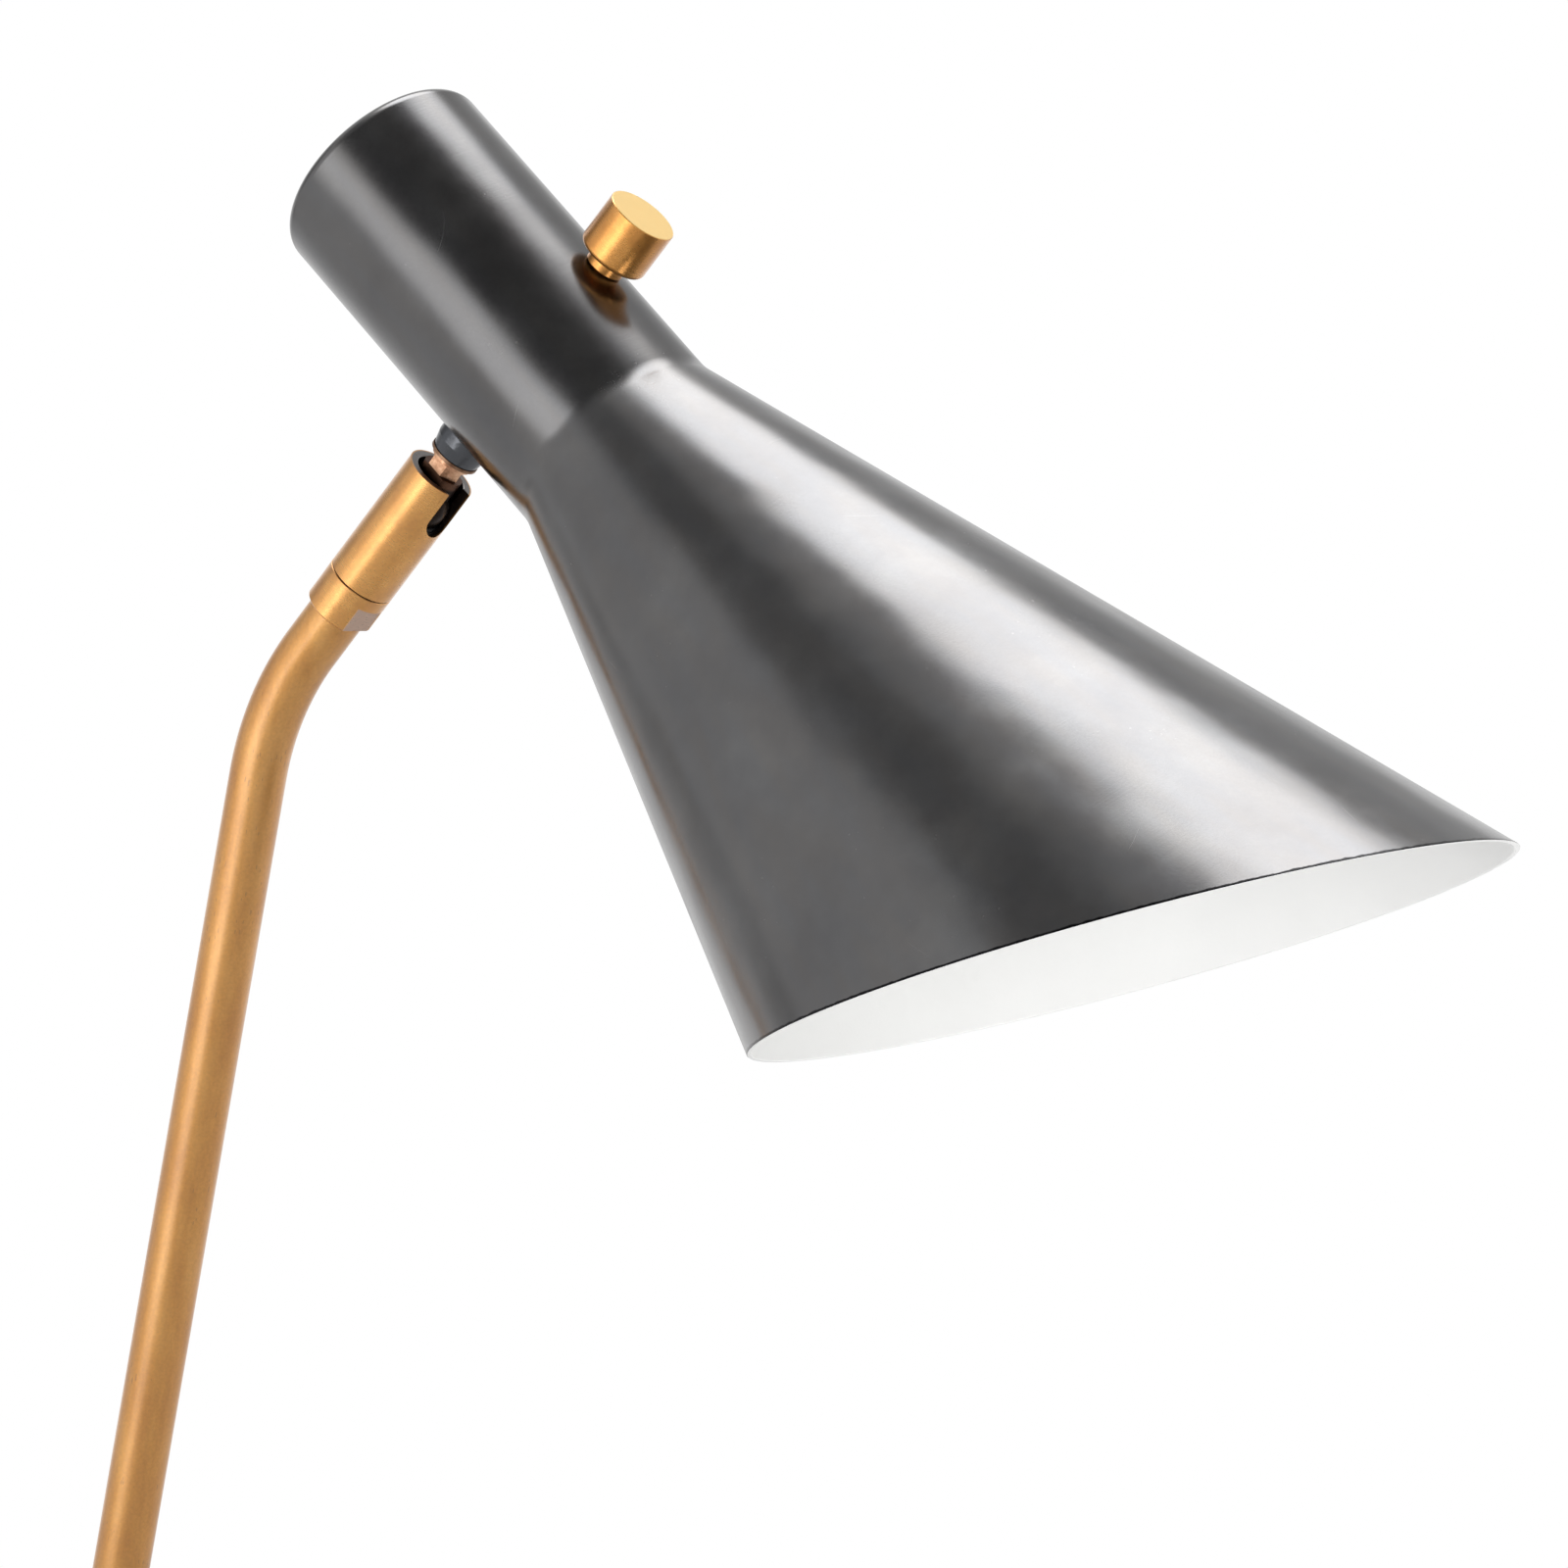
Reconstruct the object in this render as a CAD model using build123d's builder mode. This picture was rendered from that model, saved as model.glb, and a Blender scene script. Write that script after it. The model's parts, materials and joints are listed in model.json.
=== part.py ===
from build123d import *
import os
from math import cos, radians, sin, sqrt, tan

# An architect desk lamp. A heavy round base carries a brass stem that leans forward and bends
# at its top. On the bend stand a swivel barrel and a ball stud, and on the stud a spun metal
# shade with a knob on its neck. Millimetres. +Z is up and +X is the way the shade points.
# The origin is the centre of the underside. The lamp is symmetric about the XZ plane.

# Base
base_radius = 95.0
base_height = 22.0
cover_wall = 1.2
skirt_clearance = 1.2
edge_radius = 4.0
pad_radius = 92.0
pad_height = 2.0
weight_radius = 93.6
weight_height = 18.6
cord_height = 10.0
cord_bore_radius = 3.25
grommet_radius = 4.9
grommet_flange_radius = 6.5
grommet_flange = 1.5
grommet_inner_end = 90.0
edge_break = 0.3
clearance = 0.05
loose_fit = 0.2

# Stem
foot_x = -60.0
lean = 13.96
foot_to_bend = 440.0
stem_radius = 6.35
stem_bore = 5.15
bend_radius = 60.0
stem_start = 16.2
collar_radius = 12.0
collar_waist = 9.5
collar_neck = 8.6
collar_shoulder = 24.5
collar_step = 26.5
collar_top = 38.0
nut_seat = 11.0
nut_recess_radius = 15.0
nipple_start = 4.5
nipple_end = 40.0
nipple_bore = 3.25
nipple_hole = 5.3
base_washer_radius = 13.0
washer_bore = 5.4
base_washer_start = 9.6
lock_washer_radius = 8.6
lock_washer_start = 8.4
base_nut_start = 4.9
base_nut_flats = 16.0

# Swivel, measured along its axis downwards from the axis of the shade's neck
arm_angle = 45.0
axis_to_bend = 105.1
barrel_radius = 7.8
barrel_bore = 6.45
barrel_top = 36.5
barrel_bottom = 67.85
barrel_mouth = 5.8
ball_centre = 44.4
ball_radius = 6.3
slot_width = 7.4
ferrule_top = 68.05
ferrule_bottom = 77.55
flat_top = 70.9
flat_offset = 6.27
spigot_radius = 5.0
flat_width = 20.0
spigot_end = 57.6
spigot_nut_radius = 6.0
spigot_nut_top = 58.2
spigot_nut_slot = 1.2
spigot_nut_bottom = 61.2
friction_washer_radius = 6.2
friction_washer_bottom = 61.95
plug_top = 62.0
seat_ring_top = 55.0
seat_ring_bottom = 57.0
seat_ring_bore = 4.0
tail_end = 85.5
lead_radius = 2.1
lead_clearance = 0.8

# Ball seat, springs and stud, measured along the swivel's axis in the same way
cup_top = 47.2
cup_hole = 3.0
cup_bottom = 53.0
cup_outer = 6.3
spring_thickness = 0.4
spring_outer = 6.2
spring_inner = 3.4
stud_radius = 4.8
thread_radius = 4.4
stud_end = 14.5
stud_bore = 2.5
stud_flat = 3.6
stud_shoulder = 31.3
hexagon_top = 32.3
hexagon_bottom = 35.4
flats_bottom = 41.4
neck_collar_top = 23.0
neck_collar_taper = 27.5
neck_collar_radius = 6.2
neck_collar_end_radius = 5.5
neck_collar_bore = 4.5
stud_ring_top = 30.6
stud_ring_radius = 5.7
stud_nut_top = 17.2
stud_nut_flats = 14.0
saddle_radius = 7.0
saddle_thickness = 3.0

# Shade, measured along the neck from the swivel's axis and outwards from the neck's axis
neck_radius = 25.0
neck_back = 58.1
neck_front = 30.93
cone_angle = 16.34
long_side = 214.6
short_side = 128.45
shade_wall = 1.0
neck_edge = 3.0
cone_blend = 14.0
spun_end = 250.0

# Switch and knob, measured upwards from the neck's axis
knob_forward = 1.6
knob_radius = 7.9
knob_bottom = 28.0
knob_top = 40.0
spindle_radius = 1.75
switch_radius = 9.5
switch_bottom = 7.5
switch_top = 21.0
switch_edge = 0.6
spindle_bottom = 14.0
spindle_top = 35.0
bush_radius = 3.2
bush_top = 27.6
inner_nut_flats = 9.5
inner_nut_top = 23.2
dress_nut_radius = 4.45
knob_edge = 1.1
knob_face_edge = 0.2
grub_height = 34.0
grub_radius = 1.45
grub_start = 1.85
grub_length = 5.3
grub_socket = 0.75
grub_socket_depth = 2.0

# Lampholder and bulb, measured along the neck's axis
strap_top = 20.4
strap_bottom = 21.6
strap_half_width = 6.0
strap_wall = 1.2
strap_back = -8.0
strap_end = 10.0
holder_back = 15.2
holder_front = 49.0
holder_radius = 18.0
holder_lip = 1.0
holder_lip_length = 7.0
holder_edge = 1.5
holder_bore = 13.9
holder_floor = 22.0
screw_spread = 7.0
screw_head_back = 12.2
screw_head_radius = 2.7
screw_radius = 1.5
screw_length = 6.0
core_spread = 7.5
core_radius = 1.1
core_along = 5.0
shell_back = 24.0
shell_front = 47.4
shell_radius = 13.7
shell_wall = 0.4
shell_hole = 11.0
contact_radius = 6.0
contact_foot = 22.8
contact_tip = 24.4
contact_tip_radius = 2.4
bulb_tip = 24.5
bulb_tip_radius = 2.6
insulator_back = 25.4
insulator_radius = 5.0
cap_back = 28.2
cap_back_radius = 9.0
cap_shoulder = 30.4
cap_front = 53.0
cap_radius = 12.9
cap_wall = 0.5
globe_back = 51.0
stalk_radius = 12.3
stalk_end = 58.0
globe_radius = 24.0
globe_centre = 100.0
globe_wall = 0.8

# The lamp's own axes. Each line is a plane in the plane of symmetry: its X runs along the axis.
lateral = (0, -1, 0)
stem_way = Vector(sin(radians(lean)), 0, cos(radians(lean)))
up_arm = Vector(sin(radians(arm_angle)), 0, cos(radians(arm_angle)))
along_neck = Vector(cos(radians(arm_angle)), 0, -sin(radians(arm_angle)))
foot = Vector(foot_x, 0, 0)
bend = foot + stem_way * foot_to_bend
neck_centre = bend + up_arm * axis_to_bend

stem_line = Plane(origin=foot, x_dir=stem_way, z_dir=lateral)
swivel_line = Plane(origin=neck_centre, x_dir=-up_arm, z_dir=lateral)
neck_line = Plane(origin=neck_centre, x_dir=along_neck, z_dir=lateral)
knob_line = Plane(origin=neck_centre + along_neck * knob_forward, x_dir=up_arm, z_dir=lateral)


def across(line, distance):
    """The plane square to a line at a distance along it."""
    return Plane(origin=line.origin + line.x_dir * distance, x_dir=(0, 1, 0), z_dir=line.x_dir)


def turned(line, *outline):
    """A round piece: an outline of (along, radius) points turned about the line."""
    with BuildPart() as piece:
        with BuildSketch(line):
            with BuildLine():
                Polyline(*outline, close=True)
            make_face()
        revolve(axis=Axis(line.origin, line.x_dir))
    return piece


def ring(line, start, end, outer, inner):
    """A washer, sleeve or tube between two stations of a line."""
    return turned(line, (start, inner), (start, outer), (end, outer), (end, inner))


def hex_nut(line, start, end, across_flats, bore):
    """A hexagon nut between two stations of a line."""
    with BuildPart() as piece:
        with BuildSketch(across(line, start)):
            RegularPolygon(radius=across_flats / 2, side_count=6, major_radius=False)
            Circle(bore, mode=Mode.SUBTRACT)
        extrude(amount=end - start)
    return piece


def cable(line, start, end):
    """A straight length of the two-core lead."""
    return turned(line, (start, 0), (start, lead_radius), (end, lead_radius), (end, 0))


# ---- Base ----

base_pad = ring(Plane.XZ.rotated((0, -90, 0)), 0, pad_height, pad_radius, 0)

with BuildPart() as base_cover:
    with BuildSketch(Plane.XZ):
        with BuildLine():
            Polyline(
                (0, base_height),
                (base_radius, base_height),
                (base_radius, skirt_clearance),
                (base_radius - cover_wall, skirt_clearance),
                (base_radius - cover_wall, base_height - cover_wall),
                (0, base_height - cover_wall),
                close=True,
            )
        make_face()
        corners = vertices().group_by(Axis.Y)
        fillet(corners[-1].sort_by(Axis.X)[-1], radius=edge_radius)
        fillet(corners[-2].sort_by(Axis.X)[-1], radius=edge_radius - cover_wall)
    revolve(axis=Axis.Z)
    with BuildSketch(across(stem_line, nut_seat)):
        Circle(stem_radius + loose_fit)
    extrude(amount=base_height, mode=Mode.SUBTRACT)
    with BuildSketch(Plane.YZ.offset(-base_radius - cover_wall)):
        with Locations((0, cord_height)):
            Circle(grommet_radius + loose_fit / 2)
    extrude(amount=cover_wall * 4, mode=Mode.SUBTRACT)

with BuildPart() as base_weight:
    with BuildSketch(Plane.XY.offset(pad_height)):
        Circle(weight_radius)
    extrude(amount=weight_height)
    chamfer(edges().sort_by(Axis.Z)[-1], length=edge_radius - cover_wall)
    with BuildSketch(across(stem_line, nut_seat)):
        Circle(nut_recess_radius)
    extrude(amount=-base_height, mode=Mode.SUBTRACT)
    with BuildSketch(across(stem_line, base_washer_start)):
        Circle(nipple_hole)
    extrude(amount=base_height, mode=Mode.SUBTRACT)
    with BuildSketch(across(stem_line, stem_start)):
        Circle(stem_radius + loose_fit)
    extrude(amount=base_height, mode=Mode.SUBTRACT)
    with BuildSketch(Plane.YZ.offset(-base_radius)):
        with Locations((0, cord_height)):
            Circle(grommet_radius + loose_fit)
    extrude(amount=base_radius + foot_x, mode=Mode.SUBTRACT)

cord_line = Plane(origin=(-base_radius, 0, cord_height), x_dir=(1, 0, 0), z_dir=lateral)
cord_grommet = turned(
    cord_line,
    (-grommet_flange - clearance, cord_bore_radius),
    (-grommet_flange - clearance, grommet_flange_radius - 2 * edge_break),
    (-grommet_flange - clearance + 2 * edge_break, grommet_flange_radius),
    (-clearance, grommet_flange_radius),
    (-clearance, grommet_radius),
    (base_radius - grommet_inner_end, grommet_radius),
    (base_radius - grommet_inner_end, cord_bore_radius),
)

# ---- Stem ----

spigot_seat = neck_centre - up_arm * ferrule_bottom

with BuildPart() as stem:
    with BuildLine():
        FilletPolyline(foot + stem_way * stem_start, bend, spigot_seat, radius=bend_radius)
    with BuildSketch(across(stem_line, stem_start)):
        Circle(stem_radius)
        Circle(stem_bore, mode=Mode.SUBTRACT)
    sweep()

with BuildPart() as stem_collar:
    with BuildSketch(stem_line):
        with BuildLine():
            Polyline(
                (nut_seat, stem_radius + loose_fit / 2),
                (nut_seat, collar_radius),
                (collar_shoulder, collar_radius),
                (collar_step, collar_waist),
                (collar_top, collar_neck),
                (collar_top, stem_radius + loose_fit / 2),
                close=True,
            )
        make_face()
        fillet(vertices().group_by(Axis.X)[-1].sort_by(Axis.Y)[-1], radius=2 * edge_break)
    revolve(axis=Axis(stem_line.origin, stem_line.x_dir))
    split(bisect_by=Plane.XY.offset(base_height), keep=Keep.TOP)

stem_nipple = ring(stem_line, nipple_start, nipple_end, stem_bore - clearance, nipple_bore)
base_washer = ring(stem_line, base_washer_start, nut_seat, base_washer_radius, washer_bore)
lock_washer = ring(
    stem_line, lock_washer_start, base_washer_start, lock_washer_radius, washer_bore
)
base_nut = hex_nut(stem_line, base_nut_start, lock_washer_start, base_nut_flats, stem_bore)

lead_top = neck_centre - up_arm * (spigot_end + loose_fit)

with BuildPart() as stem_lead:
    with BuildLine():
        FilletPolyline(foot + stem_way * base_nut_start, bend, lead_top, radius=bend_radius)
    with BuildSketch(across(stem_line, base_nut_start)):
        Circle(lead_radius)
    sweep()

# ---- Swivel ----

with BuildPart() as ferrule:
    with BuildSketch(swivel_line):
        with BuildLine():
            Polyline(
                (spigot_end, lead_radius + lead_clearance),
                (spigot_end, spigot_radius),
                (ferrule_top, spigot_radius),
                (ferrule_top, barrel_radius - edge_break / 2),
                (ferrule_top + edge_break / 2, barrel_radius),
                (ferrule_bottom - edge_break, barrel_radius),
                (ferrule_bottom, barrel_radius - edge_break),
                (ferrule_bottom, stem_bore - clearance),
                (tail_end, stem_bore - clearance),
                (tail_end, lead_radius + lead_clearance),
                close=True,
            )
        make_face()
    revolve(axis=Axis(swivel_line.origin, swivel_line.x_dir))
    for side in (1, -1):
        with BuildSketch(across(swivel_line, flat_top)):
            with Locations((0, side * (flat_offset + flat_width / 2))):
                Rectangle(flat_width, flat_width)
        extrude(amount=ferrule_bottom - flat_top, mode=Mode.SUBTRACT)

swivel_washer = ring(
    swivel_line,
    barrel_bottom + clearance / 2,
    ferrule_top,
    barrel_radius - 2 * edge_break,
    spigot_radius + loose_fit / 2,
)
friction_washer = ring(
    swivel_line,
    spigot_nut_bottom,
    friction_washer_bottom,
    friction_washer_radius,
    spigot_radius + loose_fit / 2,
)

with BuildPart() as spigot_nut:
    with BuildSketch(across(swivel_line, spigot_nut_top)):
        Circle(spigot_nut_radius)
        Circle(spigot_radius, mode=Mode.SUBTRACT)
    extrude(amount=spigot_nut_bottom - spigot_nut_top)
    with BuildSketch(across(swivel_line, spigot_nut_top)):
        Rectangle(spigot_nut_slot, 2 * barrel_radius)
    extrude(amount=spigot_nut_slot, mode=Mode.SUBTRACT)

seat_depth = sqrt(barrel_bore**2 - barrel_mouth**2)

with BuildPart() as barrel:
    with BuildSketch(swivel_line):
        with BuildLine():
            Polyline(
                (ball_centre - seat_depth, barrel_mouth),
                (barrel_top, barrel_mouth),
                (barrel_top, barrel_radius),
                (barrel_bottom - edge_break / 2, barrel_radius),
                (barrel_bottom, barrel_radius - edge_break / 2),
                (barrel_bottom, barrel_bore),
                (ball_centre, barrel_bore),
            )
            RadiusArc((ball_centre, barrel_bore), (ball_centre - seat_depth, barrel_mouth), -barrel_bore)
        make_face()
        rim = vertices().group_by(Axis.X)[0].sort_by(Axis.Y)
        fillet(rim[0], radius=edge_break)
        fillet(rim[-1], radius=1.5 * edge_break)
    revolve(axis=Axis(swivel_line.origin, swivel_line.x_dir))
    slot_origin = neck_centre - up_arm * ball_centre
    with BuildSketch(Plane(origin=slot_origin, x_dir=(0, 1, 0), z_dir=along_neck)):
        Circle(slot_width / 2)
        with Locations((0, barrel_radius)):
            Rectangle(slot_width, 2 * barrel_radius)
    extrude(amount=2 * barrel_radius, mode=Mode.SUBTRACT)

barrel_plug = ring(
    swivel_line, plug_top, barrel_bottom, barrel_bore - clearance, spigot_radius + clearance
)
seat_ring = ring(
    swivel_line, seat_ring_top, seat_ring_bottom, barrel_bore - clearance, seat_ring_bore
)

cup_radius = ball_radius + loose_fit / 2

with BuildPart() as ball_seat:
    with BuildSketch(swivel_line):
        with BuildLine():
            top_edge = (cup_top, sqrt(cup_radius**2 - (cup_top - ball_centre) ** 2))
            low_edge = (ball_centre + sqrt(cup_radius**2 - cup_hole**2), cup_hole)
            Polyline(
                low_edge, (cup_bottom, cup_hole), (cup_bottom, cup_outer), (cup_top, cup_outer), top_edge
            )
            RadiusArc(top_edge, low_edge, cup_radius)
        make_face()
    revolve(axis=Axis(swivel_line.origin, swivel_line.x_dir))

# The two springs are dished towards each other, so they are nearest at their inner edges.
with BuildPart() as disc_springs:
    for rim, heel in (
        (cup_bottom + 0.1, cup_bottom + 0.6),
        (seat_ring_top - 0.1 - spring_thickness, seat_ring_top - 0.55 - spring_thickness),
    ):
        with BuildSketch(swivel_line):
            with BuildLine():
                Polyline(
                    (rim, spring_outer),
                    (rim + spring_thickness, spring_outer),
                    (heel + spring_thickness, spring_inner),
                    (heel, spring_inner),
                    close=True,
                )
            make_face()
        revolve(axis=Axis(swivel_line.origin, swivel_line.x_dir))

swivel_lead = cable(
    swivel_line, ball_centre + ball_radius + edge_break, spigot_end - loose_fit
)

# ---- Ball stud and its fixings on the neck ----

ball_start = ball_centre - sqrt(ball_radius**2 - stud_radius**2)
ball_end = ball_centre + sqrt(ball_radius**2 - stud_bore**2)

with BuildPart() as ball_stud:
    with BuildSketch(swivel_line):
        with BuildLine():
            Polyline(
                (ball_end, stud_bore),
                (stud_end, stud_bore),
                (stud_end, thread_radius - edge_break),
                (stud_end + edge_break, thread_radius),
                (stud_shoulder, thread_radius),
                (stud_shoulder, stud_radius),
                (ball_start, stud_radius),
            )
            ThreePointArc(
                (ball_start, stud_radius), (ball_centre, ball_radius), (ball_end, stud_bore)
            )
        make_face()
    revolve(axis=Axis(swivel_line.origin, swivel_line.x_dir))
    with BuildSketch(across(swivel_line, hexagon_top)):
        Circle(2 * stud_radius)
        RegularPolygon(
            radius=stud_flat, side_count=6, major_radius=False, rotation=30, mode=Mode.SUBTRACT
        )
    extrude(amount=hexagon_bottom - hexagon_top, mode=Mode.SUBTRACT)
    with BuildSketch(across(swivel_line, hexagon_bottom)):
        Circle(2 * stud_radius)
        Rectangle(2 * stud_flat, 4 * stud_radius, mode=Mode.SUBTRACT)
    extrude(amount=flats_bottom - hexagon_bottom, mode=Mode.SUBTRACT)

with BuildPart() as neck_outside:
    with BuildSketch(across(neck_line, -neck_radius)):
        Circle(neck_radius + clearance / 2)
    extrude(amount=2 * neck_radius)

with BuildPart() as neck_inside:
    with BuildSketch(across(neck_line, -neck_radius)):
        Circle(neck_radius - shade_wall - clearance / 2)
    extrude(amount=2 * neck_radius)

with BuildPart() as neck_collar:
    with BuildSketch(swivel_line):
        with BuildLine():
            Polyline(
                (neck_collar_top, neck_collar_bore),
                (neck_collar_top, neck_collar_radius),
                (neck_collar_taper, neck_collar_radius),
                (stud_ring_top, neck_collar_end_radius),
                (stud_ring_top, neck_collar_bore),
                close=True,
            )
        make_face()
    revolve(axis=Axis(swivel_line.origin, swivel_line.x_dir))
    add(neck_outside.part, mode=Mode.SUBTRACT)

stud_ring = ring(swivel_line, stud_ring_top, stud_shoulder, stud_ring_radius, neck_collar_bore)

with BuildPart() as saddle_washer:
    with BuildSketch(across(swivel_line, strap_bottom)):
        Circle(saddle_radius)
        Circle(neck_collar_bore, mode=Mode.SUBTRACT)
    extrude(amount=saddle_thickness)
    add(neck_inside.part, mode=Mode.INTERSECT)

stud_nut = hex_nut(
    swivel_line, stud_nut_top, strap_top, stud_nut_flats, thread_radius + clearance
)
head_lead = cable(swivel_line, -switch_bottom + loose_fit / 2, ball_end - loose_fit / 2)

with BuildPart() as socket_bracket:
    with BuildSketch(neck_line):
        with BuildLine():
            Polyline(
                (strap_back, -strap_bottom),
                (holder_back, -strap_bottom),
                (holder_back, strap_end),
                (holder_back - strap_wall, strap_end),
                (holder_back - strap_wall, -strap_top),
                (strap_back, -strap_top),
                close=True,
            )
        make_face()
    extrude(amount=strap_half_width, both=True)
    with BuildSketch(across(swivel_line, strap_top)):
        Circle(thread_radius + loose_fit)
    extrude(amount=strap_wall, mode=Mode.SUBTRACT)
    with BuildSketch(across(neck_line, holder_back - strap_wall)):
        with Locations((0, screw_spread), (0, -screw_spread)):
            Circle(screw_radius + loose_fit)
    extrude(amount=strap_wall, mode=Mode.SUBTRACT)

# ---- Shade ----

slope = tan(radians(cone_angle))
inner_radius = neck_radius - shade_wall
inner_front = neck_front + shade_wall * tan(radians(cone_angle / 2))
long_lip = (
    neck_front + long_side * cos(radians(cone_angle)),
    neck_radius + long_side * sin(radians(cone_angle)),
)
short_lip = (
    neck_front + short_side * cos(radians(cone_angle)),
    -neck_radius - short_side * sin(radians(cone_angle)),
)
lip_low = neck_centre + along_neck * short_lip[0] + up_arm * short_lip[1]
lip_high = neck_centre + along_neck * long_lip[0] + up_arm * long_lip[1]
mouth = Plane(origin=lip_low, x_dir=(0, 1, 0), z_dir=(lip_high - lip_low).cross(Vector(0, -1, 0)))

with BuildPart() as shade:
    with BuildSketch(neck_line):
        with BuildLine():
            Polyline(
                (-neck_back, 0),
                (-neck_back, neck_radius),
                (neck_front, neck_radius),
                (spun_end, neck_radius + (spun_end - neck_front) * slope),
                (spun_end, inner_radius + (spun_end - inner_front) * slope),
                (inner_front, inner_radius),
                (-neck_back + shade_wall, inner_radius),
                (-neck_back + shade_wall, 0),
                close=True,
            )
        make_face()
        corners = vertices()
        for place, radius in (
            ((-neck_back, neck_radius), neck_edge),
            ((neck_front, neck_radius), cone_blend),
            ((inner_front, inner_radius), cone_blend + shade_wall),
            ((-neck_back + shade_wall, inner_radius), neck_edge - shade_wall),
        ):
            fillet(corners.sort_by_distance(place)[0], radius=radius)
    revolve(axis=Axis(neck_line.origin, neck_line.x_dir))
    split(bisect_by=mouth, keep=Keep.BOTTOM)
    with BuildSketch(across(swivel_line, stud_nut_top)):
        Circle(thread_radius + loose_fit)
    extrude(amount=neck_radius, mode=Mode.SUBTRACT)
    with BuildSketch(across(knob_line, switch_bottom)):
        Circle(bush_radius + loose_fit)
    extrude(amount=neck_radius, mode=Mode.SUBTRACT)

# ---- Switch and knob ----

with BuildPart() as switch_body:
    with BuildSketch(across(knob_line, switch_bottom)):
        Circle(switch_radius)
    extrude(amount=switch_top - switch_bottom)
    chamfer(edges().filter_by(GeomType.CIRCLE), length=switch_edge)
    with BuildSketch(across(knob_line, spindle_bottom - loose_fit)):
        Circle(spindle_radius + loose_fit / 2)
    extrude(amount=switch_radius, mode=Mode.SUBTRACT)

switch_bush = ring(
    knob_line, switch_top, bush_top, bush_radius, spindle_radius + loose_fit / 2
)
switch_inner_nut = hex_nut(
    knob_line, switch_top + loose_fit, inner_nut_top, inner_nut_flats, bush_radius + clearance
)
switch_nut = turned(
    knob_line,
    (neck_radius + clearance, bush_radius + clearance),
    (neck_radius + clearance, dress_nut_radius - edge_break),
    (neck_radius + clearance + edge_break, dress_nut_radius),
    (bush_top - 2 * edge_break, dress_nut_radius),
    (bush_top, dress_nut_radius - 2 * edge_break),
    (bush_top, bush_radius + clearance),
)
knob_spindle = turned(
    knob_line,
    (spindle_bottom, 0),
    (spindle_bottom, spindle_radius),
    (spindle_top, spindle_radius),
    (spindle_top, 0),
)

with BuildPart() as knob:
    with BuildSketch(across(knob_line, knob_bottom)):
        Circle(knob_radius)
    extrude(amount=knob_top - knob_bottom)
    rims = edges().filter_by(GeomType.CIRCLE).sort_by(Axis(knob_line.origin, knob_line.x_dir))
    fillet(rims[0], radius=knob_edge)
    chamfer(rims[-1], length=knob_face_edge)
    with BuildSketch(across(knob_line, knob_bottom)):
        Circle(spindle_radius + clearance / 2)
    extrude(amount=spindle_top + loose_fit - knob_bottom, mode=Mode.SUBTRACT)
    grub_origin = knob_line.origin + knob_line.x_dir * grub_height
    grub_plane = Plane(origin=grub_origin, x_dir=along_neck, z_dir=(0, 1, 0))
    with BuildSketch(grub_plane):
        Circle(grub_radius + clearance)
    extrude(amount=2 * knob_radius, mode=Mode.SUBTRACT)

with BuildPart() as knob_grub_screw:
    with BuildSketch(grub_plane.offset(grub_start)):
        Circle(grub_radius)
    extrude(amount=grub_length)
    with BuildSketch(grub_plane.offset(grub_start + grub_length)):
        RegularPolygon(radius=grub_socket, side_count=6, major_radius=False)
    extrude(amount=-grub_socket_depth, mode=Mode.SUBTRACT)

# ---- Lampholder and bulb ----

with BuildPart() as lampholder:
    with BuildSketch(neck_line):
        with BuildLine():
            Polyline(
                (holder_back, 0),
                (holder_back, holder_radius - holder_edge),
                (holder_back + holder_edge, holder_radius),
                (holder_front - holder_lip_length - holder_lip, holder_radius),
                (holder_front - holder_lip_length, holder_radius - holder_lip),
                (holder_front, holder_radius - holder_lip),
                (holder_front, holder_bore),
                (holder_floor, holder_bore),
                (holder_floor, 0),
                close=True,
            )
        make_face()
    revolve(axis=Axis(neck_line.origin, neck_line.x_dir))
    with BuildSketch(across(neck_line, holder_back)):
        with Locations((0, screw_spread), (0, -screw_spread)):
            Circle(screw_radius + clearance)
    extrude(amount=screw_length - strap_wall + loose_fit, mode=Mode.SUBTRACT)

screw_seat = holder_back - strap_wall

with BuildPart() as socket_screws:
    for side in (screw_spread, -screw_spread):
        with BuildSketch(across(neck_line, screw_head_back)):
            with Locations((0, side)):
                Circle(screw_head_radius)
        extrude(amount=screw_seat - screw_head_back)
        with BuildSketch(across(neck_line, screw_seat)):
            with Locations((0, side)):
                Circle(screw_radius)
        extrude(amount=screw_length)

core_start = switch_bottom - loose_fit / 2
core_end = holder_back - loose_fit / 2

with BuildPart() as socket_leads:
    for side in (core_spread, -core_spread):
        with BuildLine(neck_line.offset(side)):
            FilletPolyline(
                (core_along, core_start), (core_along, 0), (core_end, 0), radius=core_along
            )
        with BuildSketch(across(knob_line, core_start)):
            with Locations((-side, core_along - knob_forward)):
                Circle(core_radius)
        sweep()

socket_shell = turned(
    neck_line,
    (shell_back, shell_hole),
    (shell_back, shell_radius),
    (shell_front, shell_radius),
    (shell_front, shell_radius - shell_wall),
    (shell_back + shell_wall, shell_radius - shell_wall),
    (shell_back + shell_wall, shell_hole),
)
centre_contact = turned(
    neck_line,
    (holder_floor, 0),
    (holder_floor, contact_radius),
    (contact_foot, contact_radius),
    (contact_tip, contact_tip_radius),
    (contact_tip, 0),
)
bulb_contact = turned(
    neck_line,
    (bulb_tip, 0),
    (bulb_tip, bulb_tip_radius),
    (insulator_back, insulator_radius - shell_wall),
    (insulator_back, 0),
)
bulb_insulator = turned(
    neck_line,
    (insulator_back, 0),
    (insulator_back, insulator_radius),
    (cap_back, cap_back_radius),
    (cap_back, 0),
)
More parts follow.
